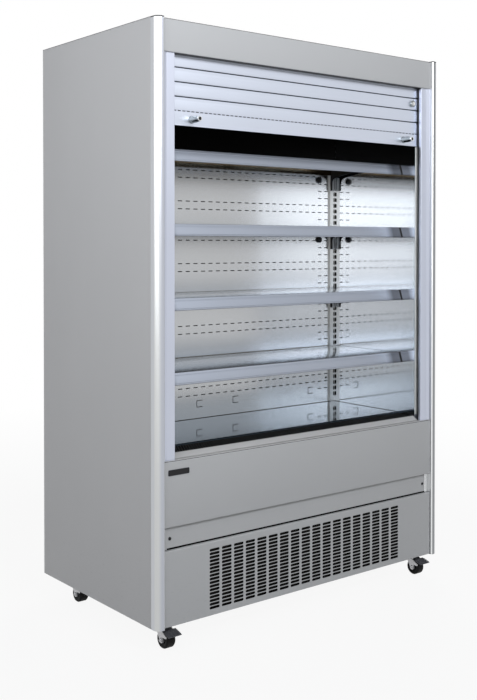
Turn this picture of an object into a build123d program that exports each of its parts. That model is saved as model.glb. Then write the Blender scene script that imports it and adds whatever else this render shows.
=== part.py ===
from math import degrees, pi, radians
import os

from build123d import *

# Open multideck display fridge with a roll-down aluminium night shutter, on four casters.
# Millimetres, +Z up, front towards -Y. The origin is on the floor under the middle of the
# overall box. Depths are given as distances behind the front face of the canopy and panels.

os.makedirs("parts", exist_ok=True)

# --- driving dimensions -------------------------------------------------------------------
cabinet_width = 1312.0
cabinet_height = 1990.0
body_depth = 729.0          # front face of the panels to the rear skin
knob_reach = 20.0           # how far the shutter knobs stand out in front of the front face
nose_proud = 10.0           # how far the corner profiles stand out in front of the front face
ground_clearance = 78.0     # floor to the lower edge of the side panels

side_wall = 74.0            # foamed side wall, outer skin to liner
rear_wall = 60.0
roof_wall = 40.0
sheet = 1.5                 # folded sheet of panels and shelves
liner_sheet = 2.0
skirt = 6.0                 # outer skin of the side wall that hangs below the base

slat_pitch = 46.0
slat_thickness = 8.0
wound_count = 25            # slats on the roll when the shutter is up
hanging_count = 5           # slats below the roll when the shutter is up

deck_top = 622.0
lowest_shelf = 858.0
shelf_count = 4
top_bay = 196.0             # clear height between the top shelf and the ceiling
machine_top = 400.0         # underside of the insulated floor
tub_floor = machine_top + 40

wheel_diameter = 58.0
wheel_width = 34.0
caster_trail = 28.0

# --- derived places -----------------------------------------------------------------------
half_width = cabinet_width / 2
overall_depth = body_depth + knob_reach
face_y = knob_reach - overall_depth / 2
inner_half = half_width - side_wall             # back of the side liners
liner_half = inner_half - liner_sheet           # inner face of the side liners
opening_half = liner_half - 3                   # inner edge of the shutter guides
nose_width = 31.0
panel_half = half_width - nose_width            # half width of fascia and front panels
nose_rear = 24.0
guide_rear = 39.5                               # back of the shutter guides
canopy_bottom = cabinet_height - 106.5
canopy_top = cabinet_height - 4
panel_top = 603.0
panel_bottom = 392.5
grille_top = 319.0
duct_face = body_depth - 237                    # rear duct panel
upright_face = duct_face - 8
post_width = 28.0                               # slotted shelf posts in the rear corners
curtain_front = 25.5                            # depth of the slat faces
curtain_rear = curtain_front + slat_thickness + 1
slat_half = opening_half + 25
curtain_bottom = cabinet_height - 330           # shutter rail when it is up
rail_height = 47.0
drum_radius = 29.0
shaft_radius = 10.0
layer = slat_thickness                          # radial growth of the roll in one turn
roll_radius = 69.5                              # room for the roll and its last slat
roll_depth = curtain_rear + roll_radius + 1
roll_height = cabinet_height - 82
box_floor = roll_height - roll_radius - 4
box_rear = roll_depth + roll_radius + 5
pocket_half = slat_half + 12                    # the roll is wider than the clear opening
discharge_height = cabinet_height - 200         # ceiling with the cold air outlet
shelf_pitch = (discharge_height - top_bay - lowest_shelf) / (shelf_count - 1)
shelf_tops = [lowest_shelf + shelf_pitch * row for row in reversed(range(shelf_count))]
discharge_front = guide_rear + 2.5
discharge_rear = 112.0
base_height = wheel_diameter + 34               # underside of the base tray
caster_x = half_width - 68
front_caster_depth = 68.0
rear_caster_depth = body_depth - 118
swivel_gap = 0.5
slot_middle = 198.0                             # height of the middle of the grille's slots
grille_front = guide_rear + 5.7                 # return air grille in front of the deck
deck_front = grille_front + 85.3
shelf_front = 122.0
shelf_lip = 34.0
shelf_half = liner_half - 4
tray_floor = base_height + 3
axle_height = wheel_diameter / 2
plate_bottom = base_height - 3
fork_top = plate_bottom - swivel_gap
leg_gap = wheel_width / 2 + 1.5                 # middle of the wheel to the inside of a fork leg
leg_thickness = 2.5
pedal_pin = (10.0, 38.0)                        # hinge pin, rearwards and up from the axle
guide_rear_top = roll_height - 30               # rear half of the guides stops below the roll
rail_top = curtain_bottom + rail_height
knob_x = half_width - 158.5
knob_height = curtain_bottom + 21.5
lock_x = half_width - 111
lock_height = rail_top + 2.5 * slat_pitch
fan_x = half_width - 386
fan_places = (-fan_x, fan_x)
fan_height = (tub_floor + deck_top) / 2
fan_wall_depth = duct_face - 22
condenser_x = 356 - half_width
condenser_z = 245.0
coil_half = 180.0                               # half width of the condenser coil
coil_front = 60.0
coil_top = 375.0
shroud_front = coil_front + 48
shroud_rear = shroud_front + 42
evaporator_bottom = tub_floor + 320
evaporator_top = evaporator_bottom + 300
compressor_x = half_width - 326
compressor_depth = body_depth - 399
compressor_height = 198.0
cover_bottom = shelf_tops[0] + 4                # black cover of the duct over the top shelf


def section(x):
    """Side elevation plane: local x is the depth behind the front face, local y the height."""
    return Plane(origin=(x, face_y, 0), x_dir=(0, 1, 0), z_dir=(1, 0, 0))


def plan(z):
    """Plan plane: local x is the lateral place, local y the depth behind the front face."""
    return Plane(origin=(0, face_y, z), x_dir=(1, 0, 0), z_dir=(0, 0, 1))


def elevation(depth):
    """Front elevation plane at a depth; extruding by a positive amount goes to the rear."""
    return Plane(origin=(0, face_y + depth, 0), x_dir=(-1, 0, 0), z_dir=(0, 1, 0))


def save(piece, label):
    piece.part.label = label
    export_step(piece.part, f"parts/{label}.step")


def slab(label, x_span, depth_span, z_span):
    """A flat panel between two values on each axis."""
    with BuildPart() as piece:
        with BuildSketch(plan(z_span[0])):
            with Locations((sum(x_span) / 2, sum(depth_span) / 2)):
                Rectangle(x_span[1] - x_span[0], depth_span[1] - depth_span[0])
        extrude(amount=z_span[1] - z_span[0])
    save(piece, label)


def folded(points, thickness, half_length, side=Side.LEFT):
    """A sheet folded along the outline in side elevation, running across the cabinet."""
    with BuildSketch(section(0)) as profile:
        with BuildLine():
            Polyline(*points)
            offset(amount=thickness, side=side)
        make_face()
    return extrude(profile.sketch, amount=half_length, both=True)


# --- carcass ------------------------------------------------------------------------------
def side_panel(label, side):
    """Foamed wall with a step for the guide, a pocket for the roll and a skirt at the foot."""
    with BuildPart() as panel:
        with BuildSketch(plan(ground_clearance)):
            with BuildLine():
                Polyline(
                    (side * half_width, nose_rear),
                    (side * half_width, body_depth),
                    (side * inner_half, body_depth),
                    (side * inner_half, guide_rear),
                    (side * panel_half, guide_rear),
                    (side * panel_half, nose_rear),
                    close=True,
                )
            make_face()
        extrude(amount=cabinet_height - ground_clearance)
        with BuildSketch(plan(box_floor)):
            with Locations((0, box_rear / 2)):
                Rectangle(2 * pocket_half, box_rear)
        extrude(amount=cabinet_height, mode=Mode.SUBTRACT)
        with BuildSketch(plan(ground_clearance)):
            with Locations((0, body_depth / 2)):
                Rectangle(2 * (half_width - skirt), body_depth)
        extrude(amount=base_height - ground_clearance, mode=Mode.SUBTRACT)
    save(panel, label)


side_panel("left_side_panel", -1)
side_panel("right_side_panel", 1)

slab("rear_panel", (-inner_half, inner_half), (body_depth - rear_wall, body_depth),
     (machine_top, canopy_top - roof_wall))
slab("roof_panel", (-inner_half, inner_half), (box_rear + 2, body_depth),
     (canopy_top - roof_wall, canopy_top))


def insulated_tub():
    """Foamed floor under the deck with its front wall."""
    front = 12.0
    wall = 32.0
    rear = body_depth - rear_wall
    wall_top = panel_top - sheet
    with BuildPart() as tub:
        with BuildSketch(section(0)):
            with BuildLine():
                Polyline((front, machine_top), (rear, machine_top), (rear, tub_floor),
                         (front, tub_floor), close=True)
            make_face()
        extrude(amount=inner_half, both=True)
        with BuildSketch(section(0)):
            with Locations((front + wall / 2, (tub_floor + wall_top) / 2)):
                Rectangle(wall, wall_top - tub_floor)
        extrude(amount=liner_half, both=True)
    save(tub, "insulated_tub")


insulated_tub()


def base_tray():
    """Floor of the machine compartment: a tray with upturned edges between the side walls."""
    lip = 40.0
    front = 14.0
    rear = body_depth - 4
    with BuildPart() as tray:
        with BuildSketch(plan(base_height)):
            with Locations((0, (front + rear) / 2)):
                Rectangle(2 * inner_half, rear - front)
        extrude(amount=lip)
        top = tray.faces().sort_by(Axis.Z)[-1]
        offset(amount=-3, openings=top)
    save(tray, "base_frame")


base_tray()


# --- aluminium corner profiles ------------------------------------------------------------
def corner_profile(label, side):
    """Full-height hollow extrusion with a bull-nosed outer edge."""
    inner_x = half_width - nose_width
    with BuildPart() as profile:
        with BuildSketch(plan(ground_clearance)) as outline:
            with BuildLine():
                rear = Line((side * half_width, nose_rear), (side * half_width, 20 - nose_proud))
                nose = RadiusArc(rear @ 1, (side * (half_width - 20), -nose_proud), side * 20)
                face = Line(nose @ 1, (side * (inner_x + 6), -nose_proud))
                inner = RadiusArc(face @ 1, (side * inner_x, 6 - nose_proud), side * 6)
                Polyline(inner @ 1, (side * inner_x, nose_rear), rear @ 0)
            make_face()
        extrude(amount=canopy_top - ground_clearance)
        with BuildSketch(plan(ground_clearance)):
            with Locations((side * (half_width - nose_width / 2), nose_rear - 11)):
                RectangleRounded(nose_width - 7, 14, 3)
        extrude(amount=canopy_top - ground_clearance, mode=Mode.SUBTRACT)
    save(profile, label)
    return outline.sketch


left_outline = corner_profile("left_corner_profile", -1)
right_outline = corner_profile("right_corner_profile", 1)


# --- canopy and roll box ------------------------------------------------------------------
with BuildPart() as canopy_fascia:
    add(folded([(14, canopy_bottom), (0, canopy_bottom), (0, canopy_top), (36, canopy_top)],
               sheet, panel_half, Side.RIGHT))
save(canopy_fascia, "canopy_fascia")

with BuildPart() as roll_box_cover:
    add(folded([(16, canopy_top - 2 * sheet), (box_rear, canopy_top - 2 * sheet)],
               sheet, pocket_half, Side.LEFT))
    add(folded([(box_rear, canopy_top - sheet), (box_rear, box_floor)],
               sheet, inner_half, Side.LEFT))
save(roll_box_cover, "roll_box_cover")
slab("roll_box_floor", (-inner_half, inner_half), (guide_rear + 1, box_rear),
     (box_floor - 3, box_floor))


def end_plates():
    """Steel plates at both ends of the roll box that carry the drum shaft."""
    with BuildPart() as plates:
        with BuildSketch(section(slat_half + 3)):
            with Locations(((guide_rear + box_rear) / 2, (box_floor + canopy_top - 2 * sheet) / 2)):
                Rectangle(box_rear - guide_rear, canopy_top - 2 * sheet - box_floor)
            with Locations((roll_depth, roll_height)):
                Circle(shaft_radius + 0.05, mode=Mode.SUBTRACT)
        extrude(amount=4)
        mirror(about=Plane.YZ)
    save(plates, "roll_box_end_plates")


end_plates()

with BuildPart() as ceiling_panel:
    add(folded([(discharge_front, box_floor - 3), (discharge_front, discharge_height),
                (discharge_front + 8, discharge_height)], sheet, liner_half, Side.LEFT))
    add(folded([(duct_face, discharge_height), (discharge_rear, discharge_height),
                (discharge_rear, discharge_height + 16)], sheet, liner_half, Side.RIGHT))
    add(folded([(duct_face - 1, cover_bottom), (duct_face - 1, discharge_height + sheet)],
               sheet, liner_half - post_width - 0.5, Side.LEFT))
save(ceiling_panel, "ceiling_panel")

slab("air_discharge_honeycomb", (-liner_half, liner_half), (discharge_front + sheet, discharge_rear),
     (discharge_height + sheet, discharge_height + 14))


# --- shutter guides -----------------------------------------------------------------------
def shutter_guide(label, side):
    """Extruded guide: slanted flank, front flange, slot for the slat ends and rear flange."""
    slot_end = side * (slat_half + 2.5)
    with BuildPart() as guide:
        with BuildSketch(plan(panel_top)):
            with BuildLine():
                Polyline(
                    (side * (panel_half - 0.5), 2.2),
                    (side * (panel_half - 17), 7),
                    (side * (opening_half + 1), 6.5),
                    (side * opening_half, 7.5),
                    (side * opening_half, 11),
                    (slot_end, 11),
                    (slot_end, 37),
                    (side * (opening_half + 1.5), 37),
                    (side * (opening_half + 1.5), guide_rear),
                    (side * (panel_half - 0.5), guide_rear),
                    close=True,
                )
            make_face()
            with Locations((side * (panel_half - 9), 22)):
                Rectangle(11, 26, mode=Mode.SUBTRACT)
        extrude(amount=canopy_bottom - panel_top)
        with BuildSketch(plan(guide_rear_top)):
            with Locations((side * (panel_half - 23), 35)):
                Rectangle(50, 20)
        extrude(amount=100, mode=Mode.SUBTRACT)
    save(guide, label)


shutter_guide("left_shutter_guide", -1)
shutter_guide("right_shutter_guide", 1)

with BuildPart() as plastic_trim:
    with BuildSketch(plan(panel_top)):
        with Locations((opening_half + (slat_half + 2.5 - opening_half) / 2, 18)):
            Rectangle(slat_half + 2.5 - opening_half, 14)
    extrude(amount=guide_rear_top - panel_top)
    mirror(about=Plane.YZ)
    for outline in (left_outline, right_outline):
        lifted = Pos(0, 0, canopy_top - ground_clearance) * outline
        extrude(lifted, amount=cabinet_height - canopy_top)
save(plastic_trim, "plastic_trim")


# --- display interior ---------------------------------------------------------------------
with BuildPart() as side_liners:
    with BuildSketch(plan(tub_floor)):
        with Locations(((liner_half + inner_half) / 2, (guide_rear + 1 + body_depth - rear_wall) / 2)):
            Rectangle(liner_sheet, body_depth - rear_wall - guide_rear - 1)
    extrude(amount=box_floor - 3 - tub_floor)
    mirror(about=Plane.YZ)
save(side_liners, "side_liners")

slab("rear_duct_panel", (-liner_half, liner_half), (duct_face, duct_face + sheet),
     (deck_top - 1, discharge_height + sheet))


def uprights():
    """Shelf posts in the two rear corners, open to the rear, with a ladder of hook slots."""
    depth = duct_face - upright_face
    height = discharge_height - deck_top
    slot_pitch = 24.0
    slot_count = int(height // slot_pitch) - 1
    middle = liner_half - post_width / 2
    with BuildPart() as posts:
        with BuildSketch(plan(deck_top)):
            with Locations((middle, (upright_face + duct_face) / 2)):
                Rectangle(post_width, depth)
                with Locations((0, 1)):
                    Rectangle(post_width - 4, depth - 2, mode=Mode.SUBTRACT)
        extrude(amount=height)
        with BuildSketch(elevation(upright_face)):
            with Locations((-middle, deck_top + height / 2)):
                with GridLocations(0, slot_pitch, 1, slot_count):
                    Rectangle(8, 14)
        extrude(amount=3, mode=Mode.SUBTRACT)
        mirror(about=Plane.YZ)
    save(posts, "shelf_uprights")


uprights()


def shelf(number, top):
    """Folded shelf with a front lip and a shorter rear lip between the brackets."""
    with BuildPart() as tray:
        add(folded([(upright_face - 2, top), (shelf_front, top), (shelf_front, top - shelf_lip)],
                   sheet, shelf_half, Side.LEFT))
        add(folded([(upright_face - 2 - sheet, top - sheet), (upright_face - 2 - sheet, top - 22)],
                   sheet, shelf_half - 14, Side.LEFT))
    save(tray, f"shelf_{number}")


for number, top in enumerate(shelf_tops, start=1):
    shelf(number, top)

with BuildPart() as ticket_rails:
    for top in shelf_tops:
        add(folded([(shelf_front, top + 0.6), (shelf_front - 2.5, top + 0.6),
                    (shelf_front - 15, top - 37), (shelf_front - 12.5, top - 38.5),
                    (shelf_front, top - 32)], sheet, shelf_half, Side.LEFT))
save(ticket_rails, "ticket_rails")


def brackets():
    """Tapered gussets under both ends of every shelf, each with a plate hooked to its post."""
    tip = shelf_front + 33
    middle = (tip + upright_face) / 2
    root = 34.0
    hook_height = 58.0
    hook_sheet = 3.0
    hook_middle = liner_half - (post_width + 2) / 2 - 0.4
    with BuildPart() as gussets:
        for top in shelf_tops:
            under = top - sheet
            with BuildSketch(section(shelf_half - 4)):
                with BuildLine():
                    upper = Line((upright_face, under), (tip, under))
                    nose = Line(upper @ 1, (tip, under - 8))
                    lower = ThreePointArc(nose @ 1, (middle, under - 13), (upright_face - 30, under - root))
                    Polyline(lower @ 1, (upright_face, under - root), upper @ 0)
                make_face()
            extrude(amount=3)
            with BuildSketch(elevation(upright_face - hook_sheet)):
                with Locations((-hook_middle, top - 28 - hook_height / 2)):
                    RectangleRounded(post_width + 2, hook_height, 5)
            extrude(amount=hook_sheet)
        mirror(about=Plane.YZ)
    save(gussets, "shelf_brackets")


brackets()

with BuildPart() as base_deck:
    add(folded([(duct_face, deck_top), (deck_front, deck_top), (deck_front, deck_top - 17),
                (deck_front - 12.5, deck_top - 17)], 1, liner_half, Side.LEFT))
save(base_deck, "base_deck")

with BuildPart() as front_ledge:
    add(folded([(sheet, panel_top), (20, panel_top), (grille_front - 1.2, panel_top + 14.5),
                (grille_front - 1.2, panel_top + 1), (grille_front + 12.8, panel_top + 1)],
               1, opening_half - 0.5, Side.LEFT))
save(front_ledge, "front_ledge")

slab("return_air_grille", (-opening_half, opening_half), (grille_front, deck_front - 1.1),
     (panel_top + 2, deck_top - 4))

# --- front panels -------------------------------------------------------------------------
with BuildPart() as front_panel:
    add(folded([(12, panel_bottom), (0, panel_bottom), (0, panel_top), (18, panel_top)],
               sheet, panel_half, Side.RIGHT))
save(front_panel, "front_panel")


def recessed_strip():
    """Flat strip set back between the two front panels, held by a bolt at each end."""
    depth = 12.0
    bottom = grille_top + 6.5
    with BuildPart() as strip:
        with BuildSketch(elevation(depth)):
            with Locations((0, (bottom + machine_top) / 2)):
                Rectangle(2 * (panel_half - depth), machine_top - bottom)
        extrude(amount=sheet)
        with BuildSketch(elevation(depth)):
            with Locations((0, bottom + 29.5)):
                with GridLocations(2 * (panel_half - 31), 0, 2, 1):
                    RegularPolygon(6.5, 6)
        extrude(amount=-3.5)
    save(strip, "kick_strip")


recessed_strip()


def machine_grille():
    """Folded lower panel punched with a field of cooling slots."""
    bottom = ground_clearance + 1
    depth = 14.0
    column_count = 18
    column_pitch = 50.0
    row_count = 17
    row_pitch = 11.75
    with BuildPart() as grille:
        with BuildSketch(elevation(0)):
            with Locations((0, (bottom + grille_top) / 2)):
                Rectangle(2 * panel_half, grille_top - bottom)
        extrude(amount=depth)
        rear = grille.faces().sort_by(Axis.Y)[-1]
        offset(amount=-sheet, openings=rear)
        with BuildSketch(elevation(0)):
            with Locations((0, slot_middle)):
                with GridLocations(column_pitch, row_pitch, column_count, row_count):
                    Rectangle(40, 7)
        extrude(amount=sheet, mode=Mode.SUBTRACT)
    save(grille, "machine_grille")


machine_grille()


# --- shutter: slats, bottom rail, knobs and lock -------------------------------------------
def slat_outline(base):
    """Slat with a convex face, a beaded tongue on top and a round groove below."""
    front = curtain_front + 1
    rear = curtain_rear
    hook = curtain_front + 5.5
    top = base + slat_pitch - 0.6
    with BuildSketch(section(0)) as outline:
        with BuildLine():
            face = ThreePointArc((front, base), (curtain_front, base + slat_pitch / 2), (front, top))
            Polyline(face @ 1, (rear, top), (rear, base), face @ 0)
        make_face()
        with Locations((hook, top + 2)):
            Rectangle(1.6, 6)
        with Locations((hook, top + 4)):
            Circle(1.8)
        with Locations((hook, base + 3.4)):
            Circle(2.3, mode=Mode.SUBTRACT)
        with Locations((hook, base + 1)):
            Rectangle(2.4, 4, mode=Mode.SUBTRACT)
    return outline.sketch


with BuildPart() as shutter_slats:
    for row in range(hanging_count):
        extrude(slat_outline(rail_top + row * slat_pitch), amount=slat_half, both=True)
save(shutter_slats, "shutter_slats")


def bottom_rail():
    """Hollow closing rail with the same tongue as the slats and a thin lower lip."""
    middle = (curtain_front + curtain_rear) / 2
    top = rail_top - 0.6
    hook = curtain_front + 5.5
    with BuildPart() as rail:
        with BuildSketch(section(0)):
            with Locations((middle, (curtain_bottom + top) / 2)):
                Rectangle(curtain_rear - curtain_front, top - curtain_bottom)
            with Locations((middle, curtain_bottom + 20)):
                Rectangle(curtain_rear - curtain_front - 4, 30, mode=Mode.SUBTRACT)
            with Locations((hook, top + 2)):
                Rectangle(1.6, 6)
            with Locations((hook, top + 4)):
                Circle(1.8)
        extrude(amount=slat_half, both=True)
    save(rail, "shutter_bottom_rail")


bottom_rail()


def knobs():
    """Stepped round pulls with a hollow tip, screwed to the bottom rail."""
    tip = -knob_reach
    base = curtain_front
    with BuildPart() as pulls:
        with BuildSketch(Plane(origin=(knob_x, face_y, knob_height), x_dir=(0, 1, 0), z_dir=(1, 0, 0))):
            with BuildLine():
                Polyline((base, 0), (base, 13), (base - 20, 11.5), (base - 30, 11), (base - 31, 8),
                         (tip, 7.5), (tip, 5), (tip + 8, 5), (tip + 8, 0), close=True)
            make_face()
        revolve(axis=Axis((knob_x, face_y, knob_height), (0, 1, 0)))
        mirror(about=Plane.YZ)
    return pulls.part


def lock():
    """Round lock barrel on the third slat with a turning plug."""
    place = Plane(origin=(lock_x, face_y + curtain_front, lock_height), x_dir=(1, 0, 0), z_dir=(0, -1, 0))
    plug_radius = 7.0
    with BuildPart() as barrel:
        with BuildSketch(place):
            Circle(12)
            Circle(plug_radius + 0.05, mode=Mode.SUBTRACT)
        extrude(amount=9)
        chamfer(barrel.edges().filter_by(GeomType.CIRCLE).group_by(Axis.Y)[0].sort_by(SortBy.RADIUS)[-1],
                length=2)
    with BuildPart() as plug:
        with BuildSketch(place.offset(0.5)):
            Circle(plug_radius)
        extrude(amount=9)
        with BuildSketch(place.offset(9.5)):
            Rectangle(2, 9)
        extrude(amount=-4, mode=Mode.SUBTRACT)
    save(plug, "lock_plug")
    return barrel.part


with BuildPart() as shutter_fittings:
    add(knobs())
    add(lock())
save(shutter_fittings, "shutter_fittings")


# --- drum and the curtain wound on it -------------------------------------------------------
with BuildPart() as shutter_drum:
    with BuildSketch(section(0)):
        with Locations((roll_depth, roll_height)):
            Circle(drum_radius)
    extrude(amount=slat_half - 4, both=True)
    with BuildSketch(section(0)):
        with Locations((roll_depth, roll_height)):
            Circle(shaft_radius)
    extrude(amount=slat_half + 9, both=True)
save(shutter_drum, "shutter_drum")


def wound_turns():
    """Radius, starting turn and swept angle of every wound slat, from the drum outwards."""
    turns = []
    turned = 0.0
    for _ in range(wound_count):
        radius = drum_radius + 0.4
        sweep = slat_pitch / (radius + slat_thickness / 2)
        for below, start, length in turns:
            if start + length > turned - 2 * pi and start < turned - 2 * pi + sweep:
                radius = max(radius, below + layer)
        sweep = slat_pitch / (radius + slat_thickness / 2)
        turns.append((radius, turned, sweep))
        turned += sweep
    return turns, turned


def roll():
    """Wound slats as curved bars on a spiral, the last one ending just over the curtain."""
    turns, total = wound_turns()
    start = radians(150) + total
    with BuildPart() as wound:
        for radius, turned, sweep in turns:
            first = degrees(start - turned)
            length = degrees(sweep) * (1 - 1 / slat_pitch)
            with BuildSketch(section(0)):
                with BuildLine():
                    centre = (roll_depth, roll_height)
                    outer = CenterArc(centre, radius + layer - 0.4, first, -length)
                    inner = CenterArc(centre, radius, first, -length)
                    Line(outer @ 0, inner @ 0)
                    Line(outer @ 1, inner @ 1)
                make_face()
            extrude(amount=slat_half, both=True)
    save(wound, "wound_slats")
    print("roll radius", max(turn[0] for turn in turns) + layer)
    print("mean radius of the winding", wound_count * slat_pitch / total)


roll()


# --- cooling equipment ----------------------------------------------------------------------
def fan_wall():
    """Sheet wall under the deck with two round fan openings."""
    with BuildPart() as wall:
        with BuildSketch(elevation(fan_wall_depth)):
            with Locations((0, (tub_floor + deck_top - 1) / 2)):
                Rectangle(2 * liner_half, deck_top - 1 - tub_floor)
            with Locations(*[(-x, fan_height) for x in fan_places]):
                Circle(82, mode=Mode.SUBTRACT)
        extrude(amount=2)
    return wall.part


def fan_motors():
    """Motors on flat struts with a short shaft to the front, one for each fan."""
    places = [(x, fan_height, fan_wall_depth + 2, 180.0, 35.0) for x in fan_places]
    places.append((condenser_x, condenser_z, shroud_rear, 250.0, 42.0))
    with BuildPart() as motors:
        for x, height, depth, strut, body in places:
            with BuildSketch(elevation(depth)):
                with Locations((-x, height)):
                    Rectangle(20, strut)
            extrude(amount=3)
            with BuildSketch(elevation(depth + 3)):
                with Locations((-x, height)):
                    Circle(body)
            extrude(amount=45)
            with BuildSketch(elevation(depth)):
                with Locations((-x, height)):
                    Circle(4)
            extrude(amount=-30)
    save(motors, "fan_motors")


fan_motors()


def blade(reach):
    """One flat pitched blade of a fan that turns about Z, widening from the hub to the tip."""
    root = 22.0
    pitch = 25.0
    middle = Plane.XY.rotated((pitch, 0, 0)).offset(-1)
    with BuildPart() as vane:
        with BuildSketch(Plane((0, 0, 10)) * middle):
            with BuildLine():
                Polyline((root, -13), (reach, -23), (reach, 23), (root, 13), close=True)
            make_face()
        extrude(amount=2)
    return vane.part


def fan_blade(label, x, height, depth, reach):
    """Axial fan with five blades and a hub bored for the shaft."""
    place = Plane(origin=(x, face_y + depth, height), x_dir=(1, 0, 0), z_dir=(0, -1, 0))
    vane = blade(reach)
    with BuildPart() as fan:
        with BuildSketch(place):
            Circle(24)
        extrude(amount=20)
        with Locations(place):
            with PolarLocations(0, 5):
                add(vane)
        with BuildSketch(place):
            Circle(4.05)
        extrude(amount=20, mode=Mode.SUBTRACT)
    save(fan, label)


for index, x in enumerate(fan_places, start=1):
    fan_blade(f"evaporator_fan_{index}", x, fan_height, fan_wall_depth, 76)
fan_blade("condenser_fan", condenser_x, condenser_z, shroud_rear - 8, 104)


def shroud():
    """Sheet box that carries the condenser fan behind the coil."""
    half_height = 128.0
    with BuildPart() as box:
        with BuildSketch(elevation(shroud_front)):
            with Locations((-condenser_x, condenser_z)):
                Rectangle(2 * coil_half, 2 * half_height)
        extrude(amount=shroud_rear - shroud_front)
        front = box.faces().sort_by(Axis.Y)[0]
        offset(amount=-sheet, openings=front)
        with BuildSketch(elevation(shroud_rear)):
            with Locations((-condenser_x, condenser_z)):
                Circle(112)
        extrude(amount=-5, mode=Mode.SUBTRACT)
    return box.part


with BuildPart() as fan_shrouds:
    add(fan_wall())
    add(shroud())
save(fan_shrouds, "fan_shrouds")


def finned_coil(x_span, depth_span, z_span):
    """Tube-and-fin block with end plates that stand proud of the fins."""
    with BuildPart() as coil:
        with BuildSketch(plan(z_span[0] + 4)):
            with Locations((sum(x_span) / 2, sum(depth_span) / 2)):
                Rectangle(x_span[1] - x_span[0], depth_span[1] - depth_span[0] - 8)
        extrude(amount=z_span[1] - z_span[0] - 8)
        for x in (x_span[0], x_span[1] - 3):
            with BuildSketch(section(x)):
                with Locations((sum(depth_span) / 2, sum(z_span) / 2)):
                    Rectangle(depth_span[1] - depth_span[0], z_span[1] - z_span[0])
            extrude(amount=3)
    return coil.part


with BuildPart() as finned_coils:
    add(finned_coil((condenser_x - coil_half, condenser_x + coil_half),
                    (coil_front, shroud_front), (tray_floor, coil_top)))
    add(finned_coil((80 - liner_half, liner_half - 80), (duct_face + 47, body_depth - rear_wall),
                    (evaporator_bottom, evaporator_top)))
save(finned_coils, "finned_coils")


def compressor():
    """Welded pot on a foot plate with four rubber feet."""
    middle = Plane(origin=(compressor_x, face_y + compressor_depth, 0), x_dir=(1, 0, 0), z_dir=(0, -1, 0))
    radius = 92.0
    foot = tray_floor + 12
    top = tray_floor + compressor_height
    with BuildPart() as pot:
        with BuildSketch(middle):
            with BuildLine():
                Polyline((0, foot), (70, foot), (radius, foot + 26), (radius, foot + 110),
                         (76, foot + 162), (30, top), (0, top), close=True)
            make_face()
        revolve(axis=Axis((compressor_x, face_y + compressor_depth, 0), (0, 0, 1)))
        with BuildSketch(plan(foot)):
            with Locations((compressor_x, compressor_depth)):
                Rectangle(220, 150)
        extrude(amount=4)
        with BuildSketch(plan(tray_floor)):
            with Locations((compressor_x, compressor_depth)):
                with GridLocations(180, 110, 2, 2):
                    Circle(12)
        extrude(amount=12)
    save(pot, "compressor")


compressor()


def drip_tray():
    """Open tray that catches and boils off the melt water."""
    with BuildPart() as tray:
        with BuildSketch(plan(tray_floor)):
            with Locations((condenser_x, body_depth - 229)):
                Rectangle(420, 240)
        extrude(amount=70)
        top = tray.faces().sort_by(Axis.Z)[-1]
        offset(amount=-2, openings=top)
    save(tray, "drip_tray")


drip_tray()

with BuildPart() as control_box:
    with BuildSketch(plan(tray_floor)):
        with Locations((half_width - 176, 150)):
            Rectangle(150, 180)
    extrude(amount=230)
    chamfer(control_box.edges().filter_by(Axis.Z), length=6)
save(control_box, "control_box")


def pipe(points, radius, bend):
    """Round tube along straight runs with rounded corners."""
    with BuildPart() as tube:
        with BuildLine() as route:
            FilletPolyline(*points, radius=bend)
        first = Plane(origin=points[0], z_dir=Vector(*points[1]) - Vector(*points[0]))
        with BuildSketch(first):
            Circle(radius)
        sweep(path=route.wires()[0])
    return tube.part


def hot_gas_line():
    """Copper line from the top of the compressor to the end plate of the condenser coil."""
    run = coil_top - 25
    pot_y = face_y + compressor_depth
    coil_y = face_y + (coil_front + shroud_front) / 2
    with BuildPart() as line:
        add(pipe([(compressor_x, pot_y, tray_floor + compressor_height), (compressor_x, pot_y, run),
                  (compressor_x, coil_y, run), (condenser_x + coil_half, coil_y, run)], 4, 12))
    save(line, "pipework")


hot_gas_line()


def rear_vent_panel():
    """Removable rear sheet of the machine compartment with rows of vent slots."""
    with BuildPart() as panel:
        with BuildSketch(elevation(body_depth - 4)):
            with Locations((0, (base_height + 4 + machine_top) / 2)):
                Rectangle(2 * inner_half, machine_top - base_height - 4)
            with Locations((0, 250)):
                with GridLocations(440, 24, 2, 8):
                    Rectangle(300, 8, mode=Mode.SUBTRACT)
        extrude(amount=sheet)
    save(panel, "rear_vent_panel")


rear_vent_panel()


# --- casters --------------------------------------------------------------------------------
caster_places = {
    "front_left": (-caster_x, front_caster_depth),
    "front_right": (caster_x, front_caster_depth),
    "rear_left": (-caster_x, rear_caster_depth),
    "rear_right": (caster_x, rear_caster_depth),
}
pedal_casters = ("front_left", "front_right")


def caster_plates():
    """Top plates with cut corners, bored for the swivel pins."""
    with BuildPart() as plates:
        for x, depth in caster_places.values():
            with BuildSketch(plan(plate_bottom)):
                with Locations((x, depth)):
                    plate = Rectangle(84, 70)
                    chamfer(plate.vertices(), length=6)
                    Circle(6.05, mode=Mode.SUBTRACT)
            extrude(amount=3)
    save(plates, "caster_plates")


def fork_leg(depth):
    """Side plate of a fork: a leg down to the axle and a nose that carries the brake."""
    axle_depth = depth - caster_trail
    with BuildSketch(section(0)) as plate:
        with BuildLine():
            head = Line((depth + 16, fork_top), (axle_depth + 4, fork_top))
            nose = Polyline(head @ 1, (axle_depth + 4, axle_height + 34),
                            (axle_depth - 28, axle_height + 16), (axle_depth - 27, axle_height + 10),
                            (axle_depth - 9, axle_height + 10), (axle_depth - 9, axle_height))
            foot = ThreePointArc(nose @ 1, (axle_depth, axle_height - 10), (axle_depth + 9, axle_height))
            Line(foot @ 1, head @ 0)
        make_face()
    return plate.sketch


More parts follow.
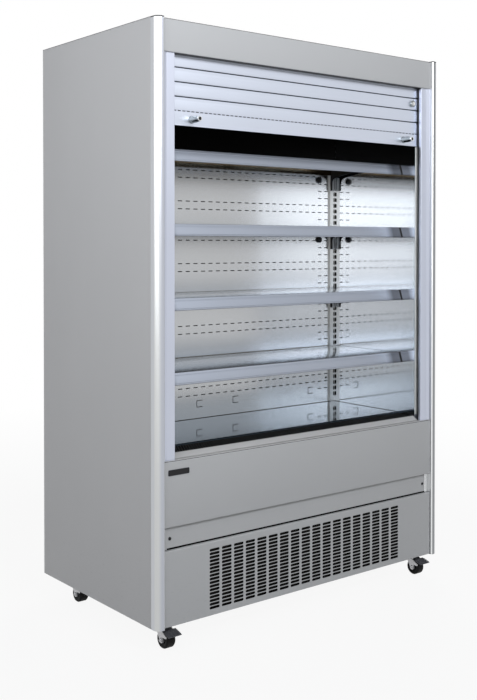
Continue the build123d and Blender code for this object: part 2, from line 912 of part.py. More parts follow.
def caster(name, x, depth):
    """Swivel fork with its pin and axle, and the wheel between the fork legs."""
    axle_depth = depth - caster_trail
    outside = leg_gap + leg_thickness
    with BuildPart() as fork:
        with BuildSketch(plan(fork_top - 6)):
            with Locations((x, depth)):
                Circle(25)
        extrude(amount=6)
        with BuildSketch(plan(fork_top)):
            with Locations((x, depth)):
                Circle(6)
        extrude(amount=3)
        for inner in (x - outside, x + leg_gap):
            extrude(Pos(inner, 0, 0) * fork_leg(depth), amount=leg_thickness)
        with BuildSketch(section(x)):
            with Locations((axle_depth, axle_height)):
                Circle(4)
        extrude(amount=outside + 1.5, both=True)
        if name in pedal_casters:
            with BuildSketch(section(x)):
                with Locations((axle_depth + pedal_pin[0], axle_height + pedal_pin[1])):
                    Circle(2.05)
            extrude(amount=outside + 1, both=True, mode=Mode.SUBTRACT)
    save(fork, f"caster_fork_{name}")
    wheel(name, x, axle_depth)


def wheel(name, x, axle_depth):
    """Rubber wheel with a dished hub."""
    radius = wheel_diameter / 2
    side = wheel_width / 2
    hub = side + 0.5
    with BuildPart() as tyre:
        with BuildSketch(Plane(origin=(x, face_y + axle_depth, axle_height), x_dir=(1, 0, 0),
                               z_dir=(0, -1, 0))):
            with BuildLine():
                Polyline((-hub, 4.05), (-hub, 11), (3 - side, 12), (-side, radius - 8),
                         (-side, radius - 3), (4 - side, radius), (side - 4, radius),
                         (side, radius - 3), (side, radius - 8), (side - 3, 12), (hub, 11),
                         (hub, 4.05), close=True)
            make_face()
        revolve(axis=Axis((x, face_y + axle_depth, axle_height), (1, 0, 0)))
    save(tyre, f"caster_wheel_{name}")


def brake_pedal(name, x, depth):
    """Broad tread over the front of the wheel, on a curved shoe hinged in the fork legs."""
    axle = (depth - caster_trail, axle_height)
    pin = (axle[0] + pedal_pin[0], axle[1] + pedal_pin[1])
    inner_radius = wheel_diameter / 2 + 3
    outer_radius = inner_radius + 3.5
    tread_width = 50.0
    tread_rear = (axle[0] - 15, axle[1] + 32)
    tread_front = (axle[0] - 50, axle[1] + 22)
    with BuildPart() as pedal:
        with BuildSketch(section(x)):
            with BuildLine():
                outer = CenterArc(axle, outer_radius, 72, 58)
                inner = CenterArc(axle, inner_radius, 72, 58)
                Line(outer @ 0, inner @ 0)
                Line(outer @ 1, inner @ 1)
            make_face()
            with Locations(pin):
                Circle(4)
        extrude(amount=wheel_width / 2 - 5, both=True)
        with BuildSketch(section(x)):
            with BuildLine():
                Polyline(tread_rear, tread_front)
                offset(amount=2.5, side=Side.LEFT)
            make_face()
        extrude(amount=tread_width / 2, both=True)
        with BuildSketch(section(x)):
            with Locations(pin):
                Circle(2)
        extrude(amount=leg_gap + leg_thickness + 0.5, both=True)
    save(pedal, f"brake_pedal_{name}")


caster_plates()
for name, (x, depth) in caster_places.items():
    caster(name, x, depth)
for name in pedal_casters:
    brake_pedal(name, *caster_places[name])
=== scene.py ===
from math import cos, pi, radians, sin, sqrt

import bmesh
import bpy
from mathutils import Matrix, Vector


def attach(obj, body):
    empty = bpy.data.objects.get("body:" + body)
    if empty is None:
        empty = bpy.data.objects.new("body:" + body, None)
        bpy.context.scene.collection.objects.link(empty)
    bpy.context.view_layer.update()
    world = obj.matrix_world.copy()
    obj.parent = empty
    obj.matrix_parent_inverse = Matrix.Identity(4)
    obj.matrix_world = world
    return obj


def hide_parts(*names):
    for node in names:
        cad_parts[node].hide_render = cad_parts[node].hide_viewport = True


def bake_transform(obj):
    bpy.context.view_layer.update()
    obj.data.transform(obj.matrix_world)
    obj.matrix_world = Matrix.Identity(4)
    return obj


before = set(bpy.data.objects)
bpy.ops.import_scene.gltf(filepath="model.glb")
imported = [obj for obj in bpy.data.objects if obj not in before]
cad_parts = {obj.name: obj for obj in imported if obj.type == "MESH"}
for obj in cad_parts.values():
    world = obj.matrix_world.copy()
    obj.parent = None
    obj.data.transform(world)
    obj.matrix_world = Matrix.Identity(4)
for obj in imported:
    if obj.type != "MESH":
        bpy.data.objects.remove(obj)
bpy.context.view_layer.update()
scene = bpy.context.scene

# An open multideck display fridge with a roll-down aluminium night shutter, on four casters.
# Metres, +Z up, front towards -Y. Depths are distances behind the front face of the panels.


# --- viewpoint ---
# A viewer in front of the left corner, with the eye at chest height and looking level.
lens = bpy.data.cameras.new("viewpoint")
lens.lens = 52.37
lens.shift_y = -0.1279
camera = bpy.data.objects.new("viewpoint", lens)
camera.location = (-2.416, -2.978, 1.28)
camera.rotation_euler = (radians(89.14), 0, radians(-38.54))
scene.collection.objects.link(camera)
scene.camera = camera


# --- studio ---
# A white paper sweep under soft lamps: one beside the left wall, a higher one in front, a weak
# one by the viewer that reaches the interior, and one behind for the far sides.
def operator(operation, swapped=False):
    """A method that adds a Math node to the material of a socket."""
    def method(self, other=0):
        first, second = (other, self) if swapped else (self, other)
        return self.finish.node("Math", {0: first, 1: second}, operation=operation)
    return method


class Value:
    """A shader socket. Arithmetic on it adds Math nodes to the same material."""

    def __init__(self, finish, socket):
        self.finish, self.socket = finish, socket

    __add__ = __radd__ = operator("ADD")
    __sub__ = operator("SUBTRACT")
    __rsub__ = operator("SUBTRACT", swapped=True)
    __mul__ = __rmul__ = operator("MULTIPLY")
    __gt__ = operator("GREATER_THAN")
    __lt__ = operator("LESS_THAN")
    __mod__ = operator("FLOORED_MODULO")
    __abs__ = operator("ABSOLUTE")


class Finish:
    """A procedural material, worked out from the place on the object in its own frame."""

    def __init__(self, name, **surface):
        self.material = bpy.data.materials.new(name)
        self.material.use_nodes = True
        self.tree = self.material.node_tree
        self.shader = self.tree.nodes["Principled BSDF"]
        self.surface(**surface)

    def feed(self, socket, value):
        if isinstance(value, Value):
            self.tree.links.new(value.socket, socket)
        elif socket.type == "RGBA":
            socket.default_value = (*value, 1)
        else:
            socket.default_value = value

    def surface(self, **surface):
        """Set or link sockets of the shader, named in lower case."""
        for name, value in surface.items():
            title = name.replace("_", " ").title().replace("Ior", "IOR")
            self.feed(self.shader.inputs[title], value)
        return self

    def node(self, kind, inputs=None, output=0, **settings):
        """Add any node, with the values or links of its sockets and its settings."""
        added = self.tree.nodes.new("ShaderNode" + kind)
        for name, value in settings.items():
            setattr(added, name, value)
        for name, value in (inputs or {}).items():
            self.feed(added.inputs[name], value)
        return Value(self, added.outputs[output])

    def mix(self, share, first, second):
        """A colour between two colours, which the node keeps at its sockets 6 and 7."""
        return self.node("Mix", {0: share, 6: first, 7: second}, 2, data_type="RGBA")

    def place(self):
        """The place on the object, in metres in its own frame."""
        return self.node("TexCoord", output="Object")

    def along(self, axis):
        """The place along one axis: 0 across, 1 rearwards, 2 up."""
        return self.node("SeparateXYZ", {0: self.place()}, axis)

    def facing(self, axis):
        """How far the surface faces along one axis, from -1 to 1."""
        return self.node("SeparateXYZ", {0: self.node("TexCoord", output="Normal")}, axis)

    def noise(self, scale, detail, where=None):
        inputs = {"Vector": where or self.place(), "Scale": scale, "Detail": detail}
        return self.node("TexNoise", inputs)

    def stretched(self, scale, detail):
        """Noise on a different scale along each of the three axes."""
        where = self.node("Mapping", {"Vector": self.place(), "Scale": scale})
        return self.noise(1, detail, where)

    def grain(self, along, fine, coarse):
        """Fine lines along one axis, as drawing and rolling leave them."""
        return self.stretched([coarse if axis == along else fine for axis in "XYZ"], 3)

    def ramp(self, value, low, high):
        """0 below one value and 1 above another, straight in between."""
        inputs = {"Value": value, "From Min": low, "From Max": high}
        return self.node("MapRange", inputs, clamp=True)

    def tint(self, share, first, second):
        return self.surface(base_color=self.mix(share, first, second))

    def bump(self, relief, strength, distance):
        """Feed the shader's normal with a relief, its distance in metres."""
        inputs = {"Height": relief, "Strength": strength, "Distance": distance}
        return self.surface(normal=self.node("Bump", inputs))


def studio_floor():
    """White paper that keeps the shadow near the fridge and runs out to plain white."""
    reach, shadow_radius, white_radius, white_share = 14, 1.6, 4.5, 0.91
    mesh = bpy.data.meshes.new("studio_floor")
    corners = [(reach * x, reach * y, 0) for x, y in ((-1, -1), (1, -1), (1, 1), (-1, 1))]
    mesh.from_pydata(corners, [], [(0, 1, 2, 3)])
    floor = bpy.data.objects.new("studio_floor", mesh)
    scene.collection.objects.link(floor)
    paper = Finish("white_paper", base_color=(0.45, 0.45, 0.45), roughness=0.9)
    away = paper.node("VectorMath", {0: paper.place()}, "Value", operation="LENGTH")
    direct = paper.node("LightPath", output="Is Camera Ray")
    seen = direct + paper.node("LightPath", output="Is Glossy Ray")
    outside = paper.ramp(away, shadow_radius, white_radius)
    share = seen * (white_share + (1 - white_share) * outside)
    glow = paper.node("Emission", {"Color": (1, 1, 1), "Strength": 1})
    lit = Value(paper, paper.shader.outputs[0])
    blend = paper.node("MixShader", {0: share, 1: lit, 2: glow})
    paper.feed(paper.tree.nodes["Material Output"].inputs["Surface"], blend)
    mesh.materials.append(paper.material)


def soft_lamp(name, place, target, width, height, power, colour=(1, 1, 1)):
    """A rectangular lamp turned towards a target."""
    data = bpy.data.lights.new(name, "AREA")
    data.shape = "RECTANGLE"
    data.size, data.size_y = width, height
    data.energy = power
    data.color = colour
    lamp = bpy.data.objects.new(name, data)
    lamp.location = place
    lamp.rotation_euler = (Vector(target) - Vector(place)).to_track_quat("-Z", "Y").to_euler()
    scene.collection.objects.link(lamp)


def white_surround(fill=0.08):
    """White where the eye, metal or glass sees it, and a plain grey fill on matt surfaces."""
    world = bpy.data.worlds.new("surround")
    world.use_nodes = True
    scene.world = world
    tree = world.node_tree
    path = tree.nodes.new("ShaderNodeLightPath")
    seen = path.outputs["Is Camera Ray"]
    for kind in ("Is Glossy Ray", "Is Transmission Ray"):
        either = tree.nodes.new("ShaderNodeMath")
        either.operation = "MAXIMUM"
        tree.links.new(seen, either.inputs[0])
        tree.links.new(path.outputs[kind], either.inputs[1])
        seen = either.outputs[0]
    level = tree.nodes.new("ShaderNodeMapRange")
    level.inputs["To Min"].default_value = fill
    level.inputs["To Max"].default_value = 1
    tree.links.new(seen, level.inputs["Value"])
    background = tree.nodes["Background"]
    background.inputs["Color"].default_value = (1, 1, 1, 1)
    tree.links.new(level.outputs[0], background.inputs["Strength"])


studio_floor()
white_surround()
soft_lamp("left_lamp", (-2.4, -0.71, 2.2), (-0.65, 0, 1.5), 2.6, 2.3, 46, (0.94, 0.965, 1))
soft_lamp("front_lamp", (-0.5, -3.3, 3), (0, -0.35, 2.4), 1.4, 1.6, 92, (0.95, 0.965, 1))
soft_lamp("viewer_lamp", (-2.9, -3.6, 1.95), (0.3, 0, 1.3), 1, 1.9, 15)
soft_lamp("rear_lamp", (3.2, 2.6, 2.6), (0.4, 0.2, 1.1), 2.4, 2.4, 150)
scene.view_settings.view_transform = "Standard"


# --- foamed walls ---
# Plastic-coated steel skins over foam: two side walls, the rear wall and the roof. The side
# walls are folded over at the top; the fold is a thin strip in a darker copy of the coat, painted
# shade.
FRONT = -0.3545
HALF_WIDTH = 0.656
TOP = 1.99


def at(x, depth, height):
    return (x, FRONT + depth, height)


def between(side, inner, outer):
    """The span in x between two distances from the middle, on the left (-1) or right (1)."""
    return sorted((side * inner, side * outer))


def shade(colour, factor):
    return tuple(min(1, part * factor) for part in colour)


def clad(finish, *nodes):
    """Give CAD parts their finish."""
    for node in nodes:
        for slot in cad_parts[node].material_slots:
            slot.material = finish.material


def coated_sheet(name, colour, metallic=0):
    """Satin lacquer on steel: a fine orange peel, cloudy gloss, and scuffs near the floor."""
    finish = Finish(name, metallic=metallic)
    cloud = finish.noise(2.2, 3)
    smear = finish.stretched((9, 9, 2.5), 5)
    low = 1 - finish.ramp(finish.along(2), 0.08, 0.42)
    scuff = finish.ramp(finish.stretched((60, 60, 300), 4), 0.62, 0.74) * low
    clean = finish.mix(cloud, shade(colour, 0.96), shade(colour, 1.03))
    finish.tint(scuff * 0.3, clean, shade(colour, 0.55))
    finish.surface(roughness=0.36 + smear * 0.14 + scuff * 0.15)
    return finish.bump(finish.noise(420, 1), 0.1, 0.0003)


def skin(rings, ends=True):
    """Points and faces of a form through rings that have equally many points."""
    count = len(rings[0])
    points = [tuple(point) for ring in rings for point in ring]
    last = len(points) - count
    faces = [tuple(range(count)), tuple(range(last, last + count))] if ends else []
    for start in range(0, last, count):
        for index in range(count):
            near = (start + index, start + (index + 1) % count)
            faces.append((*near, near[1] + count, near[0] + count))
    return points, faces


def joined(parts):
    """Several parts as one."""
    points, faces = [], []
    for more_points, more_faces in parts:
        faces += [[len(points) + index for index in face] for face in more_faces]
        points += more_points
    return points, faces


def block(across, depths, heights, edge=0.0006):
    """A box between spans in x, depth and height, its edges broken by a small flat."""
    low, high = (at(*corner) for corner in zip(across, depths, heights))
    shape = bmesh.new()
    bmesh.ops.create_cube(shape, size=1)
    for vertex in shape.verts:
        vertex.co = Vector(low[axis] if vertex.co[axis] < 0 else high[axis] for axis in range(3))
    bmesh.ops.bevel(shape, geom=shape.edges, offset=edge, segments=1, affect="EDGES")
    shape.verts.index_update()
    points = [tuple(vertex.co) for vertex in shape.verts]
    faces = [tuple(vertex.index for vertex in face.verts) for face in shape.faces]
    shape.free()
    return points, faces


def twin_blocks(inner, outer, depths, heights, edge):
    """A block on the left and one on the right, at the same distances from the middle."""
    return [block(between(side, inner, outer), depths, heights, edge) for side in (-1, 1)]


def piece(name, made, finish, body="cabinet", sharp=35):
    """A mesh of one part or a list of them that rides on a body, smooth but for sharp edges."""
    points, faces = joined(made) if isinstance(made, list) else made
    mesh = bpy.data.meshes.new(name)
    mesh.from_pydata(points, [], faces)
    cleaned = bmesh.new()
    cleaned.from_mesh(mesh)
    bmesh.ops.remove_doubles(cleaned, verts=cleaned.verts, dist=1e-6)
    bmesh.ops.recalc_face_normals(cleaned, faces=cleaned.faces)
    for face in cleaned.faces:
        face.smooth = True
    for edge in cleaned.edges:
        edge.smooth = edge.calc_face_angle(pi) < radians(sharp)
    cleaned.to_mesh(mesh)
    cleaned.free()
    mesh.materials.append(finish.material)
    thing = bpy.data.objects.new(name, mesh)
    scene.collection.objects.link(thing)
    if body:
        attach(thing, body)
    return thing


def folded_edges():
    heights = (TOP - 0.0022, TOP - 0.0001)
    parts = twin_blocks(HALF_WIDTH - 0.0015, HALF_WIDTH, (0.025, 0.728), heights, 0.0003)
    piece("folded_edges", parts, fold_shade_coat)


wall_coat = coated_sheet("wall_coat", (0.425, 0.425, 0.43))
# The fold's strip is a darker copy of the wall coat: painted shade along the top edge.
fold_shade_coat = coated_sheet("folded_edge", (0.26, 0.26, 0.27))
clad(wall_coat, "left_side_panel", "right_side_panel", "rear_panel", "roof_panel")
folded_edges()


# --- machine compartment floor and rear ---
# A galvanised tray between the side walls, and a vented sheet screwed on at the rear.
SHEET = 0.0015


def zinc_plate(name, colour, metallic=0.9):
    """Zinc on steel: faint crystalline patches and a dull, uneven gloss."""
    finish = Finish(name, metallic=metallic)
    patch = finish.node("TexVoronoi", {"Vector": finish.place(), "Scale": 90}, "Color")
    tone = finish.node("RGBToBW", {0: patch})
    stain = finish.noise(25, 4)
    share = tone * 0.5 + stain * 0.4
    finish.tint(share, shade(colour, 0.82), shade(colour, 1.12))
    finish.surface(roughness=0.3 + stain * 0.2 + tone * 0.06)
    return finish.bump(stain, 0.15, 0.0003)


def quarter(steps):
    return [pi / 2 * step / steps for step in range(steps + 1)]


def slot_ring(middle, half, radius, steps):
    """Points round a slot with round ends, over the top and then back below it."""
    u, v = middle
    upper = []
    for end, first in ((-1, pi), (1, pi / 2)):
        for part in quarter(steps):
            along = u + end * (half - radius) + radius * cos(first - part)
            upper.append((along, v + radius * sin(first - part)))
    lower = [(point[0], 2 * v - point[1]) for point in reversed(upper)]
    return upper, lower


def punched(lines_u, lines_v, holes, slot, thickness, to_model, steps=3):
    """A flat sheet on a grid of cells, with a slot in the middle of every cell in holes."""
    points, faces = [], []

    def face(spots):
        faces.append(range(len(points), len(points) + len(spots)))
        points.extend(to_model(*spot) for spot in spots)

    def wall(start, end):
        face([(*start, 0), (*end, 0), (*end, thickness), (*start, thickness)])

    for column, (left, right) in enumerate(zip(lines_u, lines_u[1:])):
        for row, (low, high) in enumerate(zip(lines_v, lines_v[1:])):
            middle, ring = (low + high) / 2, []
            near, far = (left, middle), (right, middle)
            outlines = [[(left, low), (right, low), far, (right, high), (left, high), near]]
            if (column, row) in holes:
                centre = ((left + right) / 2, middle)
                upper, lower = slot_ring(centre, slot[0] / 2, slot[1] / 2, steps)
                outlines = [[near, *upper, far, (right, high), (left, high)],
                            [far, *lower, near, (left, low), (right, low)]]
                ring = upper[:-1] + lower[:-1]
            for depth in (0, thickness):
                for outline in outlines:
                    face([(*spot, depth) for spot in outline])
            for start, end in zip(ring, ring[1:] + ring[:1]):
                wall(start, end)
    for low, high in zip(lines_v, lines_v[1:]):
        middle = (low + high) / 2
        for u in (lines_u[0], lines_u[-1]):
            wall((u, low), (u, middle))
            wall((u, middle), (u, high))
    for left, right in zip(lines_u, lines_u[1:]):
        for v in (lines_v[0], lines_v[-1]):
            wall((left, v), (right, v))
    return points, faces


def spread(middle, pitch, count):
    """Cell borders of a run of cells of one pitch."""
    start = middle - pitch * count / 2
    return [start + pitch * index for index in range(count + 1)]


def turned(profile, centre, axis, count=24):
    """A form of (radius, distance along the axis) turned round an axis, closed at both ends."""
    axis = Vector(axis).normalized()
    side = axis.orthogonal().normalized()
    up = axis.cross(side)
    turns = [2 * pi * step / count for step in range(count)]
    rays = [side * cos(turn) + up * sin(turn) for turn in turns]
    return skin([[Vector(centre) + axis * along + radius * ray for ray in rays]
                 for radius, along in profile])


def screw_head(centre, axis, radius):
    """A domed screw head with a round recess."""
    rise = radius * 0.55
    dome = ((1, 0.35), (0.86, 0.8), (0.55, 1), (0.42, 1), (0.4, 0.4))
    profile = [(radius, -0.0004), *((radius * reach, rise * up) for reach, up in dome)]
    return turned(profile, centre, axis, 18)


def rear_vent():
    half, field, width, slots = 0.582, 0.22, 0.34, 8
    lines_u = [-half, *spread(-field, width, 1), *spread(field, width, 1), half]
    lines_v = [0.096, *spread(0.25, 0.024, slots), 0.4]
    holes = {(column, row) for column in (1, 3) for row in range(1, slots + 1)}
    made = punched(lines_u, lines_v, holes, (0.3, 0.008), SHEET,
                   lambda u, v, w: at(u, 0.7265 - w, v))
    sheet = piece("rear_vent_sheet", made, front_coat)
    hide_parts("rear_vent_panel")
    heads = [screw_head(at(x, 0.7262, z), (0, 1, 0), 0.0045)
             for x in (-0.57, 0, 0.57) for z in (0.11, 0.385)]
    piece("rear_vent_screws", heads, zinc)


zinc = zinc_plate("zinc", (0.62, 0.63, 0.64))
front_coat = coated_sheet("front_coat", (0.425, 0.432, 0.438))
clad(zinc, "base_frame", "caster_plates", "roll_box_floor", "roll_box_end_plates",
     "shutter_drum")
rear_vent()


# --- corner profiles and shutter guides ---
# Anodised extrusions with a bull nose stand at both front corners, each closed by a
# moulded cap; the nose's highlight is painted into the colour. Beside them run the guides, with a
# black seal in front of the curtain on an aluminium carrier, and a white glide strip behind it.
def anodised(name, colour, along, rough=0.3):
    """Anodised aluminium with the faint lines that the die leaves along the bar."""
    finish = Finish(name, metallic=1)
    lines = finish.grain(along, 1100, 1.5)
    cloud = finish.noise(3.5, 3)
    share = lines * 0.5 + cloud * 0.5
    finish.tone = finish.mix(share, shade(colour, 0.94), shade(colour, 1.04))
    finish.surface(base_color=finish.tone, roughness=rough + lines * 0.08 + cloud * 0.05)
    return finish.bump(lines, 0.08, 0.0001)


def nose_with_painted_highlight(name, flat, nose):
    """Anodised bar with a painted highlight: lighter where it faces sideways on the nose, less on
    the flat flanks, plain on the flat front.
    """
    finish = anodised(name, nose, "Z")
    # Painted highlight: the colour follows the surface's sideways normal.
    sideways = abs(finish.facing(0))
    flank = finish.ramp(sideways, 0.975, 0.995)
    share = finish.ramp(sideways, 0.12, 0.62) * (1 - 0.55 * flank)
    return finish.tint(share, flat, finish.tone)


def moulded(name, colour, rough=0.42, gloss=0.25):
    """Moulded plastic with a fine spark-eroded grain."""
    finish = Finish(name, specular_ior_level=gloss)
    cloud = finish.noise(18, 3)
    pale = tuple(part * 1.5 + 0.002 for part in colour)
    finish.tint(cloud, colour, pale)
    finish.surface(roughness=rough + cloud * 0.14)
    return finish.bump(finish.noise(1500, 2), 0.2, 0.0001)


def plastic_piece(name, made, body="cabinet"):
    piece(name, made, black_plastic, body)


def nose_outline(inset):
    """The profile's outline in (x, depth), for the right corner, drawn in by a little."""
    inner, rear, proud, nose, bead = 0.625, 0.024, 0.01, 0.02, 0.006
    points = [(HALF_WIDTH - inset, rear - inset)]
    for turn in quarter(8):
        x = HALF_WIDTH - nose + (nose - inset) * cos(turn)
        points.append((x, nose - proud - (nose - inset) * sin(turn)))
    for turn in quarter(4):
        x = inner + bead - (bead - inset) * sin(turn)
        points.append((x, bead - proud - (bead - inset) * cos(turn)))
    return points + [(inner + inset, rear - inset)]


def corner_caps():
    edge = ((0.004, 0), (0.0014, 0), (0.0004, 0.0005), (0, 0.0016))
    parts = [skin([[at(side * x, depth, TOP - below) for x, depth in nose_outline(inset)]
                   for below, inset in edge]) for side in (-1, 1)]
    plastic_piece("corner_caps", parts)


def guide_strip(side, near, far):
    """A full-height strip along a guide, with its inner edges broken, between two depths."""
    inner, outer, edge = 0.5771, 0.6045, 0.0007
    outline = [(outer, near), (inner + edge, near), (inner, near + edge), (inner, far - edge),
               (inner + edge, far), (outer, far)]
    return skin([[at(side * x, depth, height) for x, depth in outline]
                 for height in (0.6035, 1.8778)])


def seals_and_glides():
    """The seal in front of the curtain, its carrier, and the glide strip that it runs on."""
    carriers = [guide_strip(side, 0.0112, 0.0182) for side in (-1, 1)]
    piece("seal_carriers", carriers, guide_aluminium)
    brushes = [guide_strip(side, 0.0184, 0.0232) for side in (-1, 1)]
    seals = piece("brush_seals", brushes, black_plastic)
    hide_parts("plastic_trim")
    strips = twin_blocks(0.5768, 0.595, (0.0343, 0.0368), (0.6235, 1.8478), 0.0003)
    piece("glide_strips", strips, glide_white)


# Lit and shaded copies: the right flat front is painted darker as shade, and its nose brighter as
# a painted highlight.
left_upright = nose_with_painted_highlight("left_upright", (0.46, 0.48, 0.53), (0.56, 0.57, 0.57))
right_upright = nose_with_painted_highlight("right_upright", (0.27, 0.28, 0.29), (0.8, 0.81, 0.81))
guide_aluminium = anodised("guide_aluminium", (0.52, 0.55, 0.64), "Z")
black_plastic = moulded("black_plastic", (0.008, 0.008, 0.009))
glide_white = moulded("glide_white", (0.62, 0.64, 0.63), 0.35)
clad(left_upright, "left_corner_profile")
clad(right_upright, "right_corner_profile")
clad(guide_aluminium, "left_shutter_guide", "right_shutter_guide")
clad(black_plastic, "air_discharge_honeycomb")
corner_caps()
seals_and_glides()


# --- canopy and roll box ---
# A folded fascia sheet hides the roll box under its lacquered cover; floor and ends are zinc.
PANEL_HALF = 0.6249
PANEL_SPAN = (-PANEL_HALF, PANEL_HALF)
OPENING_SPAN = (-0.5765, 0.5765)
MIDDLE = SHEET / 2  # depth of a front sheet's middle


def bar(outline, span):
    """An outline in (depth, height) that runs across from x to x."""
    return skin([[at(x, depth, height) for depth, height in outline] for x in span])


def rectangle(depths, heights):
    (near, far), (low, high) = depths, heights
    return [(near, low), (far, low), (far, high), (near, high)]


def rounded(points, radius, steps=3):
    """A line with its inner corners rounded."""
    result = [Vector(points[0])]
    for before, corner, after in zip(points, points[1:], points[2:]):
        corner = Vector(corner)
        start = corner + (Vector(before) - corner).normalized() * radius
        end = corner + (Vector(after) - corner).normalized() * radius
        for step in range(steps + 1):
            share = step / steps
            result.append(start.lerp(corner, share).lerp(corner.lerp(end, share), share))
    result.append(Vector(points[-1]))
    return result


def folded(points, thickness=SHEET, radius=0.0022):
    """Outline of a sheet of that thickness whose middle follows the points."""
    line = rounded(points, radius)
    near, far = [], []
    for back, point, ahead in zip(line[:1] + line, line, line[1:] + line[-1:]):
        along = (ahead - back).normalized()
        side = Vector((-along.y, along.x)) * thickness / 2
        near.append(tuple(point + side))
        far.append(tuple(point - side))
    return near + far[::-1]


def fascia():
    """The canopy's front sheet, turned back under its lower edge and over the top."""
    low, high = 1.88425, 1.98525
    outline = folded([(0.014, low), (MIDDLE, low), (MIDDLE, high), (0.036, high)])
    sheet = piece("fascia_sheet", bar(outline, PANEL_SPAN), front_coat)
    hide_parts("canopy_fascia")
    # A black strip under the fascia's lower edge: painted shadow along its underside.
    lip = [(0.004, 1.8834), (0.0046, 1.8818), (0.0216, 1.8818), (0.022, 1.8834)]
    plastic_piece("fascia_shadow_strip", bar(lip, OPENING_SPAN))
    seam = [(0.0012, 1.9859), (0.0016, 1.9872), (0.004, 1.9872), (0.0044, 1.9859)]
    plastic_piece("fascia_top_seam", bar(seam, (-0.6246, 0.6246)))


clad(front_coat, "roll_box_cover")
fascia()


# --- liner and duct panel ---
# The sides are polished stainless sheet. The rear duct panel is punched for the cold air: two
# rows of slots in every bay, and more in the two columns next to the shelf posts.
FORWARDS = (0, -1, 0)
LINER_HALF = 0.5795
DUCT_FACE = 0.492


def stainless(name, colour, along, rough, grain=0.04):
    """Stainless sheet with the grain of its polish, wiped smears and a few fingerprints."""
    finish = Finish(name, metallic=1)
    lines = finish.grain(along, 700, 4)
    smear = finish.noise(4, 3)
    prints = finish.ramp(finish.noise(38, 3), 0.62, 0.8)
    share = lines * 0.6 + smear * 0.4
    finish.tone = finish.mix(share, shade(colour, 0.95), shade(colour, 1.03))
    dull = lines * grain * 0.6 + smear * grain * 0.5 + prints * grain * 0.4
    finish.surface(base_color=finish.tone, roughness=rough + dull)
    return finish.bump(lines, grain * 0.3, 0.00005)


def duct_slots(columns, rows):
    """The cells with a slot. The row behind the lowest shelf has none."""
    holes = set()
    for column in range(1, columns + 1):
        beside_post = column in (1, 2, columns - 1, columns)
        for row in range(1, rows + 1):
            below = rows - row - 8
            repeats = below % 4 in (0, 3) or beside_post and 0 < below < 30
            if -1 <= below <= 30 and below != 23 and repeats:
                holes.add((column, row))
    return holes


def duct_panel():
    """The punched rear panel with a black sheet behind it as painted shade, its plugs, small
    screws, and lanced tabs drawn as black cuts of painted shade.
    """
    pitch_u, pitch_v = 0.03565, 0.0294
    columns, rows = 31, 38
    lines_u = [-LINER_HALF, *spread(0, pitch_u, columns), LINER_HALF]
    top_row = 1.534 + 8 * pitch_v + pitch_v / 2
    borders = [top_row - pitch_v * (rows - index) for index in range(rows + 1)]
    made = punched(lines_u, [0.6215, *borders, 1.7905], duct_slots(columns, rows),
                   (0.0205, 0.0034), 0.0012, lambda u, v, w: at(u, DUCT_FACE + w, v), 2)
    panel = piece("duct_sheet", made, rear_steel)
    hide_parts("rear_duct_panel")
    # A black sheet behind the slots: painted shade of the duct seen through them.
    depths = (DUCT_FACE + 0.0016, DUCT_FACE + 0.0022)
    shade_lining = block((-0.579, 0.579), depths, (0.6225, 1.789), 0.0001)
    piece("duct_lining", shade_lining, black_sheet)
    plug = [(0.0125, 0), (0.013, 0.004), (0.0118, 0.0085), (0.008, 0.0105)]
    screw = [(0.0045, 0), (0.004, 0.0016), (0.002, 0.002)]
    plug_x, screw_x = 0.493, 0.535398
    marks = []
    for side in (-1, 1):
        marks += [turned(plug, at(side * plug_x, DUCT_FACE, height), FORWARDS)
                  for height in (1.55, 1.303)]
        marks.append(turned(screw, at(side * screw_x, DUCT_FACE, 0.724), FORWARDS, 14))
    plastic_piece("duct_plugs", marks)
    # The lanced tabs are black cut marks: painted shade in the cuts.
    tab = ((-0.014, -0.0115, 0.664, 0.691), (-0.014, 0.014, 0.6885, 0.691),
           (-0.014, 0.014, 0.664, 0.6665), (-0.012, 0.014, 0.757, 0.76))
    depths = (DUCT_FACE - 0.0003, DUCT_FACE + 0.001)
    shade_cuts = [block((x + left, x + right), depths, (low, high), 0.0001)
            for x in (-0.1238, 0.0508, 0.447, -0.447) for left, right, low, high in tab]
    piece("duct_tab_cuts", shade_cuts, black_sheet)


def upper_duct_cover():
    """Black sheets in front of the posts, which close the duct over the top shelf."""
    parts = [block(across, (0.4818, 0.4832), (1.598, 1.7895), 0.0004)
             for across in ((-LINER_HALF, -0.1855), (-0.1845, 0.1845), (0.1855, LINER_HALF))]
    piece("upper_duct_cover", parts, black_sheet)


mirror_steel = stainless("mirror_steel", (0.77, 0.8, 0.84), "Z", 0.075, 0.004)
rear_steel = stainless("rear_steel", (0.51, 0.52, 0.53), "X", 0.25, 0.004)
black_sheet = coated_sheet("black_sheet", (0.004, 0.0035, 0.003)).surface(specular_ior_level=0.06)
clad(mirror_steel, "side_liners")
clad(black_sheet, "ceiling_panel")
duct_panel()
upper_duct_cover()


